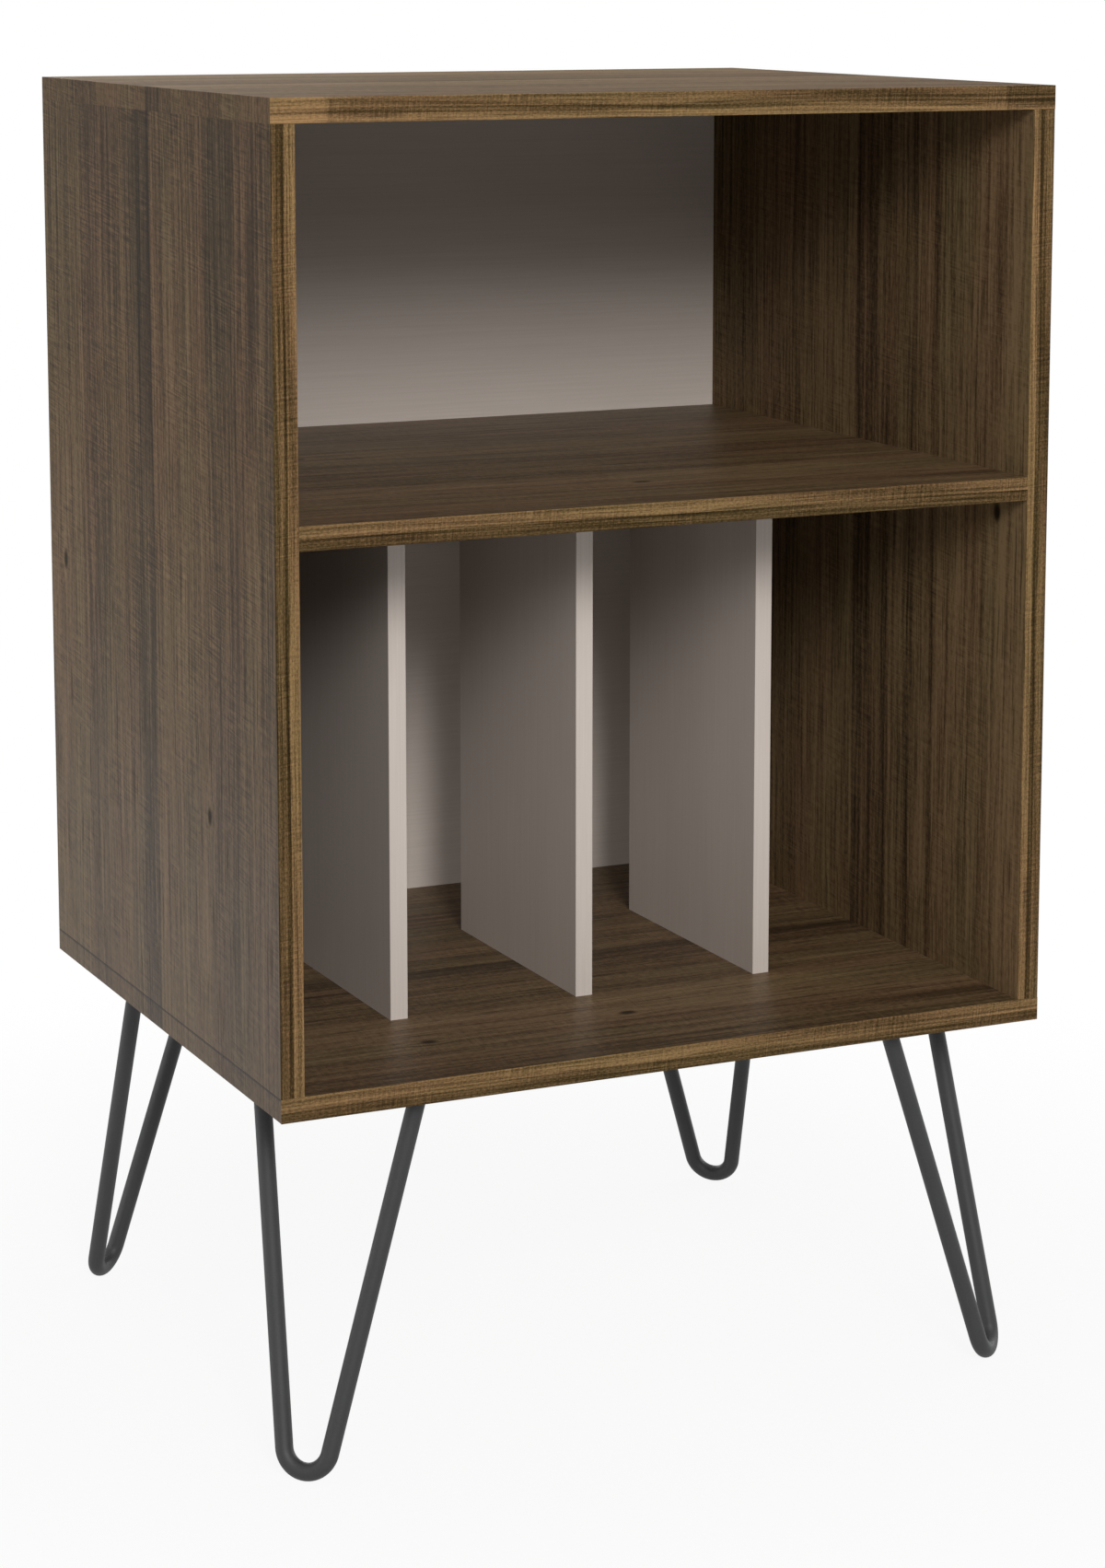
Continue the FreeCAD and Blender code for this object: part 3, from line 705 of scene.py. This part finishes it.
class STAND_OT_bands(StandOperator, bpy.types.Operator):
    """Finish the edge bands of the carcass and the shelf"""

    bl_idname = "stand.finish_bands"
    bl_label = "Finish edge bands"

    def execute(self, context):
        scene = context.scene
        for name, grain in BANDS.items():
            put_on(edge_band(name, grain, scene.stand_band), [name])
        for name, grain in END_BANDS.items():
            put_on(edge_band(name, grain, scene.stand_laminate), [name])
        return {"FINISHED"}


class STAND_OT_dividers(StandOperator, bpy.types.Operator):
    """Finish the dividers and their front bands with taupe foil"""

    bl_idname = "stand.finish_dividers"
    bl_label = "Finish dividers"

    def execute(self, context):
        dividers = [side + "_divider" for side in ("left", "centre", "right")]
        put_on(taupe_foil(context.scene.stand_taupe), dividers + [name + "_edge_band" for name in dividers])
        return {"FINISHED"}


class STAND_OT_back(StandOperator, bpy.types.Operator):
    """Finish the back panel, taupe in front and raw behind"""

    bl_idname = "stand.finish_back"
    bl_label = "Finish back"

    def execute(self, context):
        put_on(back_board(context.scene.stand_taupe, context.scene.stand_core), ["back_panel"])
        return {"FINISHED"}


# The weld bead: rings along it, the power by which it tapers, and its ripples
BEAD_STEPS = 6
BEAD_TAPER = 1.6
RIPPLES = 11
RIPPLE_SHARE = 0.12


def unit(vector):
    """A vector of length one."""
    return vector / np.linalg.norm(vector)


def hairpin_line(corner, sizes, points_on_bend=33):
    """Points of a hairpin's middle line from plate to plate, its plane's normal, and both rods' ways down.

    In the leg's plane the foot is the origin, v runs up the leg and u across it. The bend is the circle of
    radius r round (0, r). A straight from the rod top (s, l) touches it at the angle
    atan2(l - r, s) - acos(r / distance).
    """
    edge_x, edge_y, into_x, into_y = corner

    def inside(from_x, from_y, z):
        """The point at a height z that lies so far in from the two board edges."""
        return np.array([edge_x + into_x * from_x, edge_y + into_y * from_y, z])

    top_a = inside(sizes.near, sizes.far, UNDERSIDE_Z)
    top_b = inside(sizes.far, sizes.near, UNDERSIDE_Z)
    foot = inside(sizes.foot, sizes.foot, sizes.rod / 2)
    across, up = unit(top_b - top_a), unit((top_a + top_b) / 2 - foot)
    half_span = np.linalg.norm(top_b - top_a) / 2
    rise = np.linalg.norm((top_a + top_b) / 2 - foot) - sizes.bend
    touch = math.atan2(rise, half_span) - math.acos(sizes.bend / math.hypot(rise, half_span))
    angles = np.linspace(math.pi - touch, 2 * math.pi + touch, points_on_bend)
    circle = np.outer(np.cos(angles), across) + np.outer(np.sin(angles), up)
    bend = foot + up * sizes.bend + sizes.bend * circle
    steps = np.linspace(0, 2 * sizes.bead, BEAD_STEPS)
    runs, downs = [], []
    for top, near in ((top_a, bend[0]), (top_b, bend[-1])):
        down = unit(near - top)
        start = top + down * (PLATE_UNDERSIDE_Z - top[2]) / down[2]
        runs.append(start + np.outer(steps, down))
        downs.append(down)
    return np.vstack([runs[0], bend, runs[1][::-1]]), np.cross(across, up), downs


def hairpin_grid(corner, sizes, around=40):
    """Vertices of a hairpin: line(s) + radius(s, t) * (cos t * normal + sin t * side), on a grid of s and t.

    The line lies in one plane, so the side is the tangent crossed with that plane's normal. Over the weld
    bead the radius grows by bead * (1 - depth) ** BEAD_TAPER with ripples round it, and the rings are sheared
    flat to meet the plate.
    """
    line, normal, downs = hairpin_line(corner, sizes)
    tangents = np.gradient(line, axis=0)
    tangents /= np.linalg.norm(tangents, axis=1, keepdims=True)
    sides = np.cross(tangents, normal)
    turn = np.linspace(0, 2 * math.pi, around, endpoint=False)
    flare = np.zeros(len(line))
    flare[:BEAD_STEPS] = np.linspace(1, 0, BEAD_STEPS) ** BEAD_TAPER
    flare[-BEAD_STEPS:] = flare[:BEAD_STEPS][::-1]
    radii = sizes.rod / 2 + sizes.bead * np.outer(flare, 1 + RIPPLE_SHARE * np.cos(RIPPLES * turn))
    ring = np.cos(turn)[None, :, None] * normal + np.sin(turn)[None, :, None] * sides[:, None, :]
    grid = line[:, None, :] + radii[:, :, None] * ring
    for rows, down in ((slice(0, BEAD_STEPS), downs[0]), (slice(-BEAD_STEPS, None), downs[1])):
        slide = (line[rows, None, 2] - grid[rows, :, 2]) / down[2]
        grid[rows] += slide[:, :, None] * down
    return grid


def grid_faces(rows, columns):
    """Faces of a grid that closes on itself round its columns, and one face over each end."""
    index = np.arange(rows * columns).reshape(rows, columns)
    ahead = np.roll(index, -1, axis=1)
    quads = np.stack([index[:-1], ahead[:-1], ahead[1:], index[1:]], axis=-1).reshape(-1, 4)
    return quads.tolist() + [index[0, ::-1].tolist(), index[-1].tolist()]


def smooth_piece(name, vertices, faces, material):
    """A new mesh object at the origin, smooth over its four-sided faces and flat over any others."""
    mesh = bpy.data.meshes.new(name)
    mesh.from_pydata(vertices.tolist(), [], faces)
    mesh.polygons.foreach_set("use_smooth", [len(face) == 4 for face in faces])
    mesh.materials.append(material)
    mesh.update()
    piece = bpy.data.objects.new(name, mesh)
    bpy.context.scene.collection.objects.link(piece)
    return piece


class STAND_OT_legs(StandOperator, bpy.types.Operator):
    """Sweep the four hairpin rods as smooth tubes and finish the legs in black powder coat"""

    bl_idname = "stand.finish_legs"
    bl_label = "Finish legs"

    def execute(self, context):
        sizes = context.scene.stand_leg
        coat = powder_coat(context.scene.stand_metal)
        for name, corner in CORNERS.items():
            grid = hairpin_grid(corner, sizes)
            rod = smooth_piece(name + "_rod", grid.reshape(-1, 3), grid_faces(*grid.shape[:2]), coat)
            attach(rod, "root")
            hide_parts(name + "_hairpin_rod")
            put_on(coat, [name + "_leg_plate", name + "_leg_screws"])
        return {"FINISHED"}


class STAND_OT_fasteners(StandOperator, bpy.types.Operator):
    """Finish the fasteners: zinc on the steel ones, bare beech for the dowels"""

    bl_idname = "stand.finish_fasteners"
    bl_label = "Finish fasteners"

    def execute(self, context):
        metal = context.scene.stand_metal
        steel = ["top_cam_bolts", "shelf_cam_bolts", "top_cam_locks", "shelf_cam_locks"]
        steel += ["bottom_carcass_screws", "divider_screws", "back_panel_nails"]
        put_on(zinc_plate(metal), steel)
        put_on(bare_beech(metal), ["top_dowels", "bottom_dowels", "shelf_dowels", "divider_dowels"])
        return {"FINISHED"}


FLOOR_REACH = 60.0
# Between these distances from the middle, what the camera sees of the floor goes from nearly to quite white
FLOOR_NEAR = 0.3
FLOOR_FAR = 1.1
NEAR_WHITE = 0.91

# Each lamp's place, its aim, its size, and the setting that gives its power
LAMPS = {
    "key_lamp": ((-1.34, -5.59, 3.2), (0, 0, 0.62), (1.2, 1.75), "key"),
    "front_fill_lamp": ((-0.85, -3.45, 2.4), (0, 0, 0.55), (2.4, 2.0), "front"),
    "over_lamp": ((0, 0.3, 3.4), (0, 0, 0.6), (2.4, 2.4), "over"),
    "right_fill_lamp": ((3.0, 0.6, 0.9), (0.3, 0, 0.6), (1.6, 1.2), "side"),
    "rear_fill_lamp": ((0.4, 3.2, 0.9), (0, 0.25, 0.6), (1.6, 1.2), "side"),
    "left_fill_lamp": ((-3.4, -0.4, 1.2), (0, 0, 0.6), (2.0, 1.6), "left"),
    "bounce_lamp": ((-1.1, 0.3, 0.05), (-0.3, 0, 0.45), (1.2, 0.6), "bounce"),
}


def seen_directly(tree):
    """1 for what the camera sees, itself, in a reflection or through glass, and 0 for other light."""
    rays = add(tree, "LightPath").node.outputs
    seen = add(tree, "Math", {0: rays["Is Camera Ray"], 1: rays["Is Glossy Ray"]}, operation="MAXIMUM")
    return add(tree, "Math", {0: seen, 1: rays["Is Transmission Ray"]}, operation="MAXIMUM")


def studio_floor(stage):
    """Painted studio floor. It gives the eye a pale ground with a soft shadow, white further out."""
    material, tree = new_material("studio_floor_paint")
    place = add(tree, "TexCoord", out="Object")
    grit = add(tree, "TexNoise", {"Vector": place, "Scale": scale_for(6), "Detail": 2.0})
    base = add(tree, "ValToRGB", {0: grit}, stops=[(0.3, stage.floor), (0.7, stage.fleck)])
    painted = add(tree, "BsdfDiffuse", {"Color": base})
    white = add(tree, "Emission", {"Color": WHITE, "Strength": 1.0})
    away = add(tree, "VectorMath", {0: place}, out="Value", operation="LENGTH")
    far = add(tree, "MapRange", {0: away, 1: FLOOR_NEAR, 2: FLOOR_FAR, 3: NEAR_WHITE, 4: 1.0}, **EASED)
    share = add(tree, "Math", {0: far, 1: seen_directly(tree)}, operation="MULTIPLY")
    surface = add(tree, "MixShader", {0: share, 1: painted, 2: white})
    add(tree, "OutputMaterial", {"Surface": surface})
    return material


def white_surroundings(fill):
    """A world that is white to the camera, in reflections and through glass, and lights at the fill level."""
    world = bpy.data.worlds.new("white_surroundings")
    bpy.context.scene.world = world
    world.use_nodes = True
    tree = world.node_tree
    tree.nodes.clear()
    strength = add(tree, "MapRange", {0: seen_directly(tree), 3: fill, 4: 1.0})
    light = add(tree, "Background", {"Color": WHITE, "Strength": strength})
    add(tree, "OutputWorld", {"Surface": light})


def soft_lamp(name, place, target, size, watts):
    """An oval area lamp that the camera doesn't see, aimed at a point."""
    light = bpy.data.lights.new(name, "AREA")
    light.shape, light.energy = "ELLIPSE", watts
    light.size, light.size_y = size
    lamp = bpy.data.objects.new(name, light)
    lamp.location = place
    lamp.rotation_euler = (Vector(target) - lamp.location).to_track_quat("-Z", "Y").to_euler()
    lamp.visible_camera = False
    bpy.context.scene.collection.objects.link(lamp)


def photo_camera(scene, stage):
    """The camera at the photo's viewing angle, level from side to side."""
    lens = bpy.data.cameras.new("photo_camera")
    lens.lens, lens.shift_y = stage.lens, stage.shift
    camera = bpy.data.objects.new("photo_camera", lens)
    camera.location = stage.place
    camera.rotation_euler = (math.pi / 2 - stage.pitch, 0, -stage.yaw)
    scene.collection.objects.link(camera)
    scene.camera = camera


class STAND_OT_stage(StandOperator, bpy.types.Operator):
    """Lay the floor, set the soft light and place the camera"""

    bl_idname = "stand.set_stage"
    bl_label = "Set stage"

    def execute(self, context):
        scene, stage = context.scene, context.scene.stand_stage
        scene.view_settings.view_transform = "Standard"
        white_surroundings(stage.fill)
        corners = FLOOR_REACH * np.array([(-1, -1, 0), (1, -1, 0), (1, 1, 0), (-1, 1, 0)])
        floor = smooth_piece("studio_floor", corners, [[0, 1, 2, 3]], studio_floor(stage))
        for name, (place, target, size, setting) in LAMPS.items():
            soft_lamp(name, place, target, size, getattr(stage, setting))
        photo_camera(scene, stage)
        return {"FINISHED"}


GROUPS = {
    "stand_laminate": LaminateFinish,
    "stand_band": EdgeBandFinish,
    "stand_taupe": TaupeFinish,
    "stand_core": BoardCoreFinish,
    "stand_metal": MetalFinish,
    "stand_leg": LegSizes,
    "stand_stage": StageSettings,
}
OPERATORS = (
    STAND_OT_boards,
    STAND_OT_bands,
    STAND_OT_dividers,
    STAND_OT_back,
    STAND_OT_legs,
    STAND_OT_fasteners,
    STAND_OT_stage,
)


class STAND_PT_panel(bpy.types.Panel):
    """Lists the stand's operators and their settings"""

    bl_idname = "STAND_PT_panel"
    bl_label = "Turntable stand"
    bl_space_type = "VIEW_3D"
    bl_region_type = "UI"
    bl_category = "Stand"

    def draw(self, context):
        for operator in OPERATORS:
            self.layout.operator(operator.bl_idname)
        for key, group in GROUPS.items():
            box = self.layout.box()
            for name in group.__annotations__:
                box.prop(getattr(context.scene, key), name)


CLASSES = (*GROUPS.values(), *OPERATORS, STAND_PT_panel)


def register():
    """Registers the classes and hangs the settings on the scene."""
    for cls in CLASSES:
        bpy.utils.register_class(cls)
    for key, group in GROUPS.items():
        setattr(bpy.types.Scene, key, PointerProperty(type=group))


def unregister():
    """Takes the settings and classes away again."""
    for key in GROUPS:
        delattr(bpy.types.Scene, key)
    for cls in reversed(CLASSES):
        bpy.utils.unregister_class(cls)


def main():
    register()
    bpy.ops.stand.finish_boards()
    bpy.ops.stand.finish_bands()
    bpy.ops.stand.finish_dividers()
    bpy.ops.stand.finish_back()
    bpy.ops.stand.finish_legs()
    bpy.ops.stand.finish_fasteners()
    bpy.ops.stand.set_stage()


if __name__ == "__main__":
    main()
